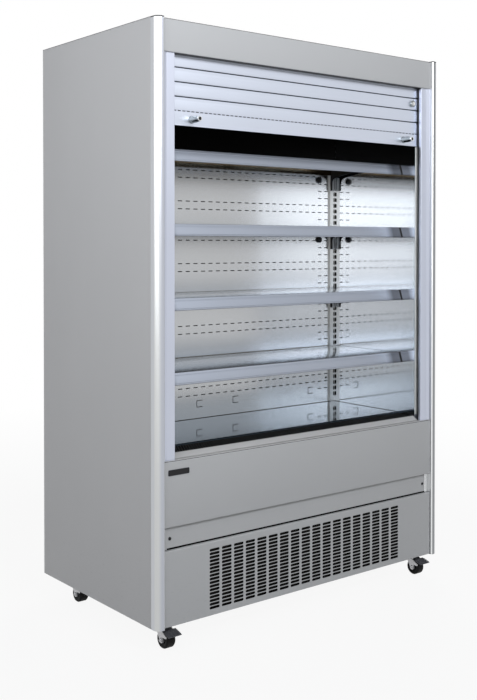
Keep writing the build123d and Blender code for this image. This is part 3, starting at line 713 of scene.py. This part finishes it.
# --- shelf posts and brackets ---
# Pressed steel posts with a ladder of slots stand in the rear corners. Under each shelf a
# black gusset ends in a grey plate with two hooks, pushed into those slots.
def shelf_posts():
    slots, slot_pitch, foot, head, half = 47, 0.024, 0.6222, 1.7898, 0.0138
    parts, shade_linings = [], []
    for side in (-1, 1):
        middle = side * 0.566

        def to_model(u, v, w):
            return at(middle + side * v, 0.484 + w, u)

        lines_u = [foot, *spread(1.206, slot_pitch, slots), head]
        holes = {(column, 1) for column in range(1, slots + 1)}
        lines_v = [-half, 0.005, half]
        parts.append(punched(lines_u, lines_v, holes, (0.018, 0.0096), 0.0014, to_model))
        for edge in (-half, half - 0.0014):
            across = (middle + edge, middle + edge + 0.0014)
            parts.append(block(across, (0.4854, 0.4918), (foot, head), 0.0002))
        # A black strip inside each post, behind its slots: painted shade.
        across = (middle - 0.012, middle + 0.012)
        shade_linings.append(block(across, (0.4862, 0.4868), (foot + 0.0002, head - 0.0002), 0.0001))
    posts = piece("shelf_posts", parts, post_steel)
    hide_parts("shelf_uprights")
    piece("post_linings", shade_linings, black_sheet)


def gusset(top, across):
    """A bracket's side plate, narrow at its tip, with a leg down the hook plate."""
    tip, rear, leg = 0.155, 0.4835, 0.0835
    curve = [(tip + 0.2945 * step / 12, 0.008 + 0.022 * (step / 12) ** 2.6) for step in range(13)]
    heel = [(0.459, 0.0325), (0.469, 0.037), (0.474, 0.044), (0.4755, 0.052),
            (0.4757, 0.08), (0.477, leg)]
    outline = [(rear, 0), (tip, 0), *curve, *heel, (rear, leg)]
    return bar([(depth, top - below) for depth, below in outline], across)


def plate_with_corners(centre, width, height, corner, near, far):
    """An upright plate with round corners, standing across the fridge."""
    outline = []
    for sign_u, sign_v, first in ((1, 1, 0), (-1, 1, 1), (-1, -1, 2), (1, -1, 3)):
        for step in range(5):
            turn = pi / 2 * (first + step / 4)
            u = centre[0] + sign_u * (width / 2 - corner) + corner * cos(turn)
            v = centre[1] + sign_v * (height / 2 - corner) + corner * sin(turn)
            outline.append((u, v))
    return skin([[at(u, depth, v) for u, v in outline] for depth in (near, far)])


def brackets():
    """Gussets, hook plates, and black marks of painted shade for the slits beside the hooks, at
    both ends of each shelf.
    """
    plates, gussets, shaded_slits = [], [], []
    for side in (-1, 1):
        for shelf in SHELVES:
            under, web = shelf - SHEET, side * 0.5545
            gussets.append(gusset(under, (web - 0.0015, web + 0.0015)))
            heel, slit = between(side, 0.554, 0.5794), between(side, 0.5735, 0.576)
            gussets.append(block(heel, (0.4795, 0.4838), (shelf - 0.03, under), 0.0008))
            centre, heights = (side * 0.567, shelf - 0.058), (shelf - 0.08, shelf - 0.031)
            plates.append(plate_with_corners(centre, 0.024, 0.056, 0.005, 0.4811, 0.4838))
            # Each slit is a black mark on the plate: painted shade in the opening.
            shaded_slits.append(block(slit, (0.4807, 0.4815), heights, 0.0002))
    hooks = piece("hook_plates", plates, plate_steel)
    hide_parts("shelf_brackets")
    piece("shelf_gussets", gussets + shaded_slits, gusset_black)


SHELVES = [0.858 + 0.736 / 3 * row for row in range(4)]
post_steel = stainless("post_steel", (0.4, 0.4, 0.39), "Z", 0.3, 0.02)
plate_steel = coated_sheet("plate_steel", (0.42, 0.42, 0.41), 0.2)
gusset_black = coated_sheet("gusset_black", (0.012, 0.011, 0.01)).surface(specular_ior_level=0.2)
shelf_posts()
brackets()


# --- shelves and ticket rails ---
# Four folded trays of bright stainless sheet, each with an anodised rail along the front that
# leans back to hold price tickets under its two lips, and is closed by black end pieces, painted
# shade for the gap at the liner.
def shelf_trays():
    front, rear = 0.12275, 0.4803
    for number, top in enumerate(reversed(SHELVES), start=1):
        middle = top - MIDDLE
        tray = folded([(rear, top - 0.022), (rear, middle), (front, middle), (front, top - 0.034)])
        sheet = piece(f"shelf_tray_{number}", bar(tray, (-0.5755, 0.5755)), shelf_steel)
        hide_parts(f"shelf_{number}")


def ticket_rails():
    across = (-0.575, 0.575)
    back = [(0.1225, 0.0012), (0.1192, 0.0012), (0.1068, -0.037), (0.109, -0.0382),
            (0.1215, -0.0318)]
    lip = [(-0.001, 0), (-0.0022, -0.0008), (-0.0026, -0.0026), (-0.0004, -0.0018)]
    cap = [(0.1236, 0.0016), (0.1185, 0.0019), (0.1058, -0.0372), (0.109, -0.0392),
           (0.1236, -0.032)]
    rails, ends = [], []
    for top in SHELVES:
        bent = folded([(depth, top + rise) for depth, rise in back], 0.0013, 0.0009)
        rails.append(bar(bent, across))
        for start, lean in ((0.1178, -0.0052), (0.1085, -0.0318)):
            rails.append(bar([(start + out, top + lean + rise) for out, rise in lip], across))
        # The black end pieces are painted shade: they stand for the dark gap between rail and
        # liner.
        end = [(depth, top + rise) for depth, rise in cap]
        ends += [bar(end, between(side, 0.5744, 0.578)) for side in (-1, 1)]
    made = piece("ticket_rail_bars", rails, rail_aluminium)
    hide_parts("ticket_rails")
    plastic_piece("ticket_rail_ends", ends)


def tray_sheet(name):
    """Bright sheet, painted bluish on top as a cool reflection, and painted a dark warm shade
    underneath and on its rear fold.
    """
    finish = stainless(name, (0.35, 0.45, 0.59), "X", 0.1, 0.01)
    rear = finish.ramp(finish.along(1), FRONT + 0.47, FRONT + 0.478)
    # Painted shade: the underside and the rear fold take a dark warm colour.
    under = 1 - finish.ramp(finish.facing(2) - rear, -0.6, -0.2)
    return finish.tint(under, finish.tone, (0.24, 0.18, 0.11))


def rail_sheet(name):
    """Anodised rail with a painted dark reflection of the liners towards both ends."""
    finish = anodised(name, (0.33, 0.36, 0.42), "X", 0.36)
    # Painted reflection: the rail darkens towards both ends.
    end = finish.ramp(abs(finish.along(0)), 0.495, 0.535)
    return finish.tint(end * 0.8, finish.tone, (0.03, 0.03, 0.035))


shelf_steel = tray_sheet("shelf_steel")
rail_aluminium = rail_sheet("rail_aluminium")
shelf_trays()
ticket_rails()


# --- deck and return air grille ---
# The bright stainless deck covers the coil. In front of it air goes back down through a black
# honeycomb, and a coated sill in two strips closes the gap to the front panel.
SILL_TOP = 0.60245


def honeycomb(low, high, bottom, top, size, wall):
    """Upright hexagonal cells between two corners in (x, depth)."""
    radius = size / sqrt(3)
    inner = radius - wall / sqrt(3)
    turns = [pi / 6 + pi / 3 * corner for corner in range(6)]
    rings = ((top, radius), (top, inner), (bottom, inner), (bottom, radius), (top, radius))
    cells, row, depth = [], 0, low[1] + radius
    while depth + radius <= high[1] + 1e-6:
        x = low[0] + size / 2 + size / 2 * (row % 2)
        while x + size / 2 <= high[0] + 1e-6:
            cells.append(skin([[at(x + reach * cos(turn), depth + reach * sin(turn), height)
                                for turn in turns] for height, reach in rings], ends=False))
            x += size
        depth += size * sqrt(3) / 2
        row += 1
    return cells


def comb_sheet(name):
    """Black plastic with a painted highlight: a little paler on the upper edges of the cells."""
    finish = moulded(name, (0.004, 0.004, 0.004), 0.4, 0.1)
    # Painted highlight along the cells' upper edges.
    rim = finish.ramp(finish.along(2), 0.6172, 0.6177)
    return finish.tint(rim, (0.004, 0.004, 0.004), (0.014, 0.015, 0.015))


def return_grille():
    made = honeycomb((-0.5768, 0.0486), (0.5768, 0.1262), 0.6065, 0.6178, 0.0104, 0.0011)
    cells = piece("return_honeycomb", made, comb_plastic)
    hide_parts("return_air_grille")
    rim = [(0.0452, 0.605), (0.0492, 0.605), (0.0492, 0.6172), (0.0485, 0.618),
           (0.0459, 0.618), (0.0452, 0.6172)]
    back = rectangle((0.1256, 0.1294), (0.605, 0.618))
    under = rectangle((0.047, 0.1275), (0.6052, 0.6062))
    parts = [bar(outline, (-0.577, 0.577)) for outline in (rim, back, under)]
    parts += twin_blocks(0.5695, 0.5768, (0.0455, 0.059), (0.604, 0.62), 0.001)
    plastic_piece("return_grille_rim", parts)


def deck_seams():
    """Dark sealant where the deck meets the liner and the rear panel."""
    rear = block((-0.579, 0.579), (0.49, 0.4919), (0.6212, 0.6234), 0.0004)
    sides = twin_blocks(0.5782, 0.5799, (0.131, 0.4915), (0.6212, 0.6232), 0.0004)
    plastic_piece("deck_seams", [rear, *sides])


def sill():
    """A flat strip behind the panel's edge, then a strip that slopes up to the honeycomb."""
    strip = [(0.0015, 0.6016), (0.0015, SILL_TOP), (0.0195, SILL_TOP)]
    slope = [(0.0222, 0.603), (0.0438, 0.617), (0.0438, 0.6045), (0.058, 0.6045)]
    parts = [bar(folded(line, 0.001, radius), OPENING_SPAN)
             for line, radius in ((strip, 0.0004), (slope, 0.0012))]
    ledge = piece("sill_strips", parts, sill_coat)
    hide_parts("front_ledge")
    # A black strip in the gap between the two sill strips: painted shade.
    shaded_gap = rectangle((0.0196, 0.022), (0.6018, 0.6022))
    plastic_piece("sill_gap", bar(shaded_gap, OPENING_SPAN))


# The deck's blue-teal tone is a painted cool reflection of its surroundings.
deck_steel = stainless("deck_steel", (0.14, 0.22, 0.31), "X", 0.06, 0.01)
sill_coat = coated_sheet("sill_coat", (0.56, 0.56, 0.56), 0.2)
comb_plastic = comb_sheet("comb_plastic")
clad(deck_steel, "base_deck")
return_grille()
deck_seams()
sill()


# --- front panel, strip and machine grille ---
# Three coated sheets close the foot: a smooth panel with a blank plate at its upper left, a
# strip set back and held by a screw at each end, and a pan punched with cooling slots.
def lower_panel():
    low, high = 0.39325, 0.59925
    outline = folded([(0.012, low), (MIDDLE, low), (MIDDLE, high), (0.018, high)])
    sheet = piece("lower_panel", bar(outline, PANEL_SPAN), front_coat)
    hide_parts("front_panel")
    # A black strip in the groove along the panel's top edge: painted shadow line.
    groove_shade = block((-0.6245, 0.6245), (0.0012, 0.019), (0.5998, 0.6012), 0.0002)
    plastic_piece("panel_groove", groove_shade)
    edge = [(MIDDLE, 0.6016), (MIDDLE, SILL_TOP), (0.011, SILL_TOP)]
    strips = [bar(folded(edge, 0.001, 0.0004), between(side, 0.577, PANEL_HALF))
              for side in (-1, 1)]
    piece("panel_edge_ends", strips, front_coat)


def blank_plate():
    centre, rear = (-0.567, 0.5649), 0.0004
    rim = plate_with_corners(centre, 0.0815, 0.019, 0.0035, -0.0012, rear)
    piece("blank_plate_frame", rim, rail_aluminium)
    plate = plate_with_corners(centre, 0.0795, 0.017, 0.0028, -0.002, rear)
    plastic_piece("blank_plate", plate)


def recessed_strip():
    front = 0.012
    outline = rectangle((front, front + SHEET), (0.3255, 0.4))
    strip = piece("recessed_strip", bar(outline, (-0.613, 0.613)), front_coat)
    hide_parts("kick_strip")
    # A black sheet behind the strip: painted shade in the gap below it.
    shade_backing = rectangle((0.0148, 0.0162), (0.31, 0.34))
    piece("strip_backing", bar(shade_backing, (-0.612, 0.612)), black_sheet)
    heads = [screw_head(at(side * 0.594, front, 0.355), FORWARDS, 0.0055) for side in (-1, 1)]
    piece("strip_screws", heads, black_plastic)
    # The right flange is a pale steel copy where the left one is coated: a painted highlight at
    # the strip's right end.
    for name, side, finish in (("left", -1, front_coat), ("right", 1, highlight_steel)):
        across = between(side, 0.606, 0.6245)
        flange = block(across, (0.0103, 0.0117), (0.3215, 0.391), 0.0004)
        piece(f"strip_flange_{name}", flange, finish)


def grille_pan():
    columns, rows, bend, middle, half = 18, 17, 0.0025, 0.199, 0.12
    field = PANEL_HALF - bend
    lines_u = [-field, *spread(0, 0.05, columns), field]
    lines_v = [middle - half + bend, *spread(0.198, 0.01175, rows), middle + half - bend]
    holes = {(column, row) for column in range(1, columns + 1) for row in range(1, rows + 1)}
    front = punched(lines_u, lines_v, holes, (0.0416, 0.0092), 0.0012,
                    lambda u, v, w: at(u, w, v))
    section = [(bend * sin(turn), bend * (1 - cos(turn))) for turn in quarter(4)]
    section += [(bend, 0.014), (bend - SHEET, 0.014), (bend - SHEET, bend)]
    corners = ((-1, -1), (1, -1), (1, 1), (-1, 1))
    rings = [[at(right * (field + out), depth, middle + up * (half - bend + out))
              for right, up in corners] for out, depth in section]
    pan = piece("grille_pan", [front, skin(rings, ends=False)], front_coat)
    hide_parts("machine_grille")


def dust_filter():
    """A black foam mat in a wire-bound frame behind the slots, in front of the condenser."""
    heights = (0.088, 0.308)
    parts = [block((-0.47, 0.47), (0.0072, 0.0132), heights, 0.001)]
    parts += [block((x - 0.002, x + 0.002), (0.006, 0.0074), heights, 0.0004)
              for x in (-0.468, -0.235, 0, 0.235, 0.468)]
    piece("dust_filter", parts, black_sheet)


highlight_steel = stainless("highlight_steel", (0.9, 0.91, 0.92), "Z", 0.25)
lower_panel()
blank_plate()
recessed_strip()
grille_pan()
dust_filter()


# --- shutter ---
# Drawn aluminium slats hooked into each other, each with a crease under its upper hook, and a
# closing rail. More slats pay out from behind the fascia as the rail comes down.
SLAT_PITCH = 0.046
SLAT_SPAN = (-0.602, 0.602)
SLAT_FACE = 0.0255
RAIL_FOOT = 1.66
RAIL_TOP = 1.707
TRAVEL = 1.045


def slat(base, to_height=lambda height: height):
    """One slat in (depth, height): rolled lower edge, flat face, crease, and tongue on top."""
    outline = [(0.0335, 0.001), (0.0288, 0.001), (0.0268, 0.0006), (0.0259, 0.0016),
               (SLAT_FACE, 0.004), (SLAT_FACE, 0.0325), (0.0257, 0.0335), (0.0256, 0.0346),
               (0.0256, 0.0424), (0.027, 0.0436), (0.03, 0.0436), (0.03, 0.0466),
               (0.0318, 0.0466), (0.0318, 0.0436), (0.0335, 0.0436)]
    return bar([(depth, to_height(base + height)) for depth, height in outline], SLAT_SPAN)


def closing_rail():
    """The rail under the slats, with a fine bead along its foot and a row of punched hooks, drawn
    as black dashes of painted shade.
    """
    outline = [(0.0335, 0.0002), (0.0268, 0.0002), (0.0256, 0.0006), (SLAT_FACE, 0.0022),
               (0.0259, 0.0032), (0.0257, 0.0045), (0.0256, 0.045), (0.0262, 0.0458),
               (0.0262, 0.0486), (0.0335, 0.0486)]
    made = bar([(depth, RAIL_FOOT + height) for depth, height in outline], SLAT_SPAN)
    rail = piece("closing_rail", made, shutter_aluminium, "shutter")
    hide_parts("shutter_bottom_rail")
    # The hooks show as black dashes: painted shade in the punched openings.
    heights = (RAIL_TOP - 0.001, RAIL_TOP + 0.0014)
    starts = [-0.569 + index * 0.0177 for index in range(65)]
    parts = [block((x, x + 0.0116), (0.0256, 0.0266), heights, 0.0002) for x in starts]
    piece("rail_hooks", parts, hook_shade_black, "shutter")


def hanging_slats():
    made = [slat(RAIL_TOP + row * SLAT_PITCH) for row in range(5)]
    slats = piece("hanging_slats", made, shutter_aluminium, "shutter")
    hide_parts("shutter_slats")


def paid_out_slats():
    """Slats between the drum and the hanging ones, stacked behind the fascia at rest."""
    stack, seam = 0.016, 1.937

    def at_rest(height):
        low, high = 0, 1
        for _ in range(40):
            share = (low + high) / 2
            down = seam + stack - stack * share - TRAVEL * share * share * (3 - 2 * share)
            low, high = (share, high) if down > height else (low, share)
        return seam + stack - stack * low

    made = [slat(seam - TRAVEL + row * SLAT_PITCH, at_rest) for row in range(23)]
    curtain = piece("paid_out_slats", made, shutter_aluminium, body=None)
    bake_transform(curtain)


def pulls_and_lock():
    """Turned pulls with a hollow bright tip, and the barrel of the lock; the bodies' dark chrome,
    the hollow and the key slit are painted reflection and shade.
    """
    pull = [(0.0124, 0), (0.0128, 0.001), (0.0122, 0.0026), (0.0113, 0.006), (0.0108, 0.026),
            (0.0094, 0.0345), (0.0086, 0.0405)]
    tip = [(0.0084, 0.04), (0.0088, 0.0408), (0.0088, 0.0436), (0.0078, 0.0455),
           (0.006, 0.0455), (0.0056, 0.0444), (0.0056, 0.0404)]
    hole = [(0.0057, 0.0404), (0.0057, 0.0432), (0.004, 0.0434)]
    barrel = [(0.012, 0), (0.0122, 0.007), (0.0104, 0.009), (0.0084, 0.009),
              (0.0074, 0.0078), (0.0072, 0.001)]
    feet = [at(side * 0.4975, SLAT_FACE, RAIL_FOOT + 0.0215) for side in (-1, 1)]
    lock_x, lock_height = 0.545, 1.822
    bodies = [turned(pull, foot, FORWARDS, 32) for foot in feet]
    bodies.append(turned(barrel, at(lock_x, SLAT_FACE, lock_height), FORWARDS, 36))
    fittings = piece("pull_bodies", bodies, shaded_chrome, "shutter")
    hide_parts("shutter_fittings")
    tips = [turned(tip, foot, FORWARDS, 32) for foot in feet]
    piece("pull_tips", tips, chrome, "shutter")
    # The hollow in each tip is a black disc: painted shade.
    holes = [turned(hole, foot, FORWARDS, 24) for foot in feet]
    plastic_piece("pull_holes", holes, "shutter")
    # The key slit is a black block: painted shade in the slit.
    across, heights = ((place - half, place + half)
                       for place, half in ((lock_x, 0.001), (lock_height, 0.0045)))
    plastic_piece("key_slit", block(across, (0.0156, 0.019), heights, 0.0002), "lock")


def slat_sheet(name):
    """Anodised slats with painted shade where they lie behind the next slat's lip."""
    finish = anodised(name, (0.58, 0.62, 0.71), "X")
    # Painted shade in the joint behind the lip.
    lip_shade = finish.ramp(finish.along(1), FRONT + 0.0266, FRONT + 0.0272)
    return finish.tint(lip_shade, finish.tone, (0.05, 0.06, 0.08))


shutter_aluminium = slat_sheet("shutter_aluminium")
hook_shade_black = moulded("hook_shade_black", (0.03, 0.03, 0.04))
chrome = stainless("chrome", (0.85, 0.86, 0.86), "Y", 0.12)
# The pull bodies use a darker copy of the chrome: a painted dark reflection.
shaded_chrome = stainless("shaded_chrome", (0.3, 0.32, 0.32), "Y", 0.18)
clad(anodised("wound_aluminium", (0.58, 0.62, 0.71), "X"), "wound_slats")
clad(chrome, "lock_plug")
closing_rail()
hanging_slats()
paid_out_slats()
pulls_and_lock()


# --- cooling equipment ---
# Behind the grille: a finned condenser with its fan, the compressor pot, copper lines, the
# drip tray and the control box. The evaporator and its fans are under the deck.
def finned(name):
    """Thin aluminium fins on edge, with painted shade in the gaps between them; dust varies the
    roughness.
    """
    pitch, fin = 0.0025, 0.0016
    finish = Finish(name, metallic=0.7)
    shaded_gap = (finish.along(0) % pitch) > fin
    dust = finish.noise(30, 4)
    # Painted shade: the gaps between the fins are near black.
    finish.tint(shaded_gap, (0.16, 0.16, 0.165), (0.01, 0.01, 0.01))
    finish.surface(roughness=0.45 + dust * 0.3)
    return finish.bump(1 - shaded_gap, 0.6, 0.001)


clad(coated_sheet("black_enamel", (0.014, 0.014, 0.015)), "compressor", "fan_motors")
clad(moulded("foam_skin", (0.42, 0.42, 0.41), 0.45), "insulated_tub")
clad(finned("coil_fins"), "finned_coils")
clad(zinc, "fan_shrouds")
clad(anodised("copper", (0.72, 0.38, 0.24), "X"), "pipework")
clad(black_plastic, "condenser_fan", "evaporator_fan_1", "evaporator_fan_2")
clad(black_plastic, "drip_tray", "control_box")


# --- casters ---
# Four swivel casters with pressed zinc forks and black rubber wheels on grey hubs. The front
# pair has a broad brake pedal over the wheel, ribbed across its tread.
def wheel_rubber(name, centre):
    """Black rubber round a grey hub, with a scuffed tread."""
    hub, tread_low, tread_high = 0.0115, 0.027, 0.0285
    finish = moulded(f"tyre_{name}", (0.003, 0.003, 0.003), 0.5, 0.12)
    offset = finish.node("VectorMath", {0: finish.place(), 1: centre}, operation="SUBTRACT")
    flat = finish.node("VectorMath", {0: offset, 1: (0, 1, 1)}, operation="MULTIPLY")
    reach = finish.node("VectorMath", {0: flat}, "Value", operation="LENGTH")
    scuff = finish.ramp(finish.noise(160, 3), 0.45, 0.7)
    tread = finish.ramp(reach, tread_low, tread_high) * scuff
    rubber = finish.mix(tread, (0.003, 0.003, 0.003), (0.012, 0.011, 0.01))
    return finish.tint(reach < hub, rubber, (0.16, 0.16, 0.165))


def caster(name, x, depth):
    trail, axle_height, bolt_height = 0.028, 0.029, 0.089
    axle = at(x, depth - trail, axle_height)
    fork = f"fork_{name}"
    clad(fork_zinc, f"caster_fork_{name}")
    clad(wheel_rubber(name, axle), f"caster_wheel_{name}")
    race = [(0.0236, 0.0802), (0.0262, 0.0808), (0.0276, 0.0832), (0.0273, 0.0862),
            (0.0252, 0.0884)]
    made = turned(race, at(x, depth, 0), (0, 0, 1), 32)
    piece(f"swivel_race_{name}", made, fork_zinc, fork)
    nut = [(0.0062, 0.0208), (0.0062, 0.0246), (0.0054, 0.0254), (0.003, 0.0256),
           (0.0028, 0.0272), (0.0018, 0.0276)]
    nuts = [turned(nut, axle, (1, 0, 0), 6), turned(nut, axle, (-1, 0, 0), 18)]
    piece(f"axle_nuts_{name}", nuts, fork_zinc, fork)
    head = [(0.0055, 0), (0.0055, 0.004), (0.0046, 0.0048)]
    bolts = [turned(head, at(x + right, depth + back, bolt_height), (0, 0, -1), 6)
             for right in (-0.033, 0.033) for back in (-0.027, 0.027)]
    piece(f"plate_bolts_{name}", bolts, fork_zinc)


def pedal_ribs(name, x, depth):
    """Ribs across the tread of the brake pedal, along its fall towards the toe."""
    half = 0.0235
    rear, front = Vector((depth - 0.043, 0.061)), Vector((depth - 0.078, 0.051))
    along = (front - rear).normalized()
    up = Vector((along.y, -along.x))
    parts = []
    for share in (0.3, 0.45, 0.6, 0.75, 0.9):
        middle = rear.lerp(front, share) + up * 0.0024
        outline = [middle + along * ahead + up * rise for ahead, rise in
                   ((-0.0011, 0), (-0.0006, 0.0008), (0.0006, 0.0008), (0.0011, 0))]
        parts.append(bar([tuple(point) for point in outline], (x - half, x + half)))
    piece(f"pedal_ribs_{name}", parts, pedal_plastic, f"pedal_{name}")


fork_zinc = zinc_plate("fork_zinc", (0.52, 0.52, 0.53), 0.8)
pedal_plastic = moulded("pedal_plastic", (0.05, 0.051, 0.058), 0.38, 0.4)
for pair, depth in (("front", 0.068), ("rear", 0.611)):
    for hand, x in (("left", -0.588), ("right", 0.588)):
        name = f"{pair}_{hand}"
        caster(name, x, depth)
        if pair == "front":
            clad(pedal_plastic, f"brake_pedal_{name}")
            pedal_ribs(name, x, depth)
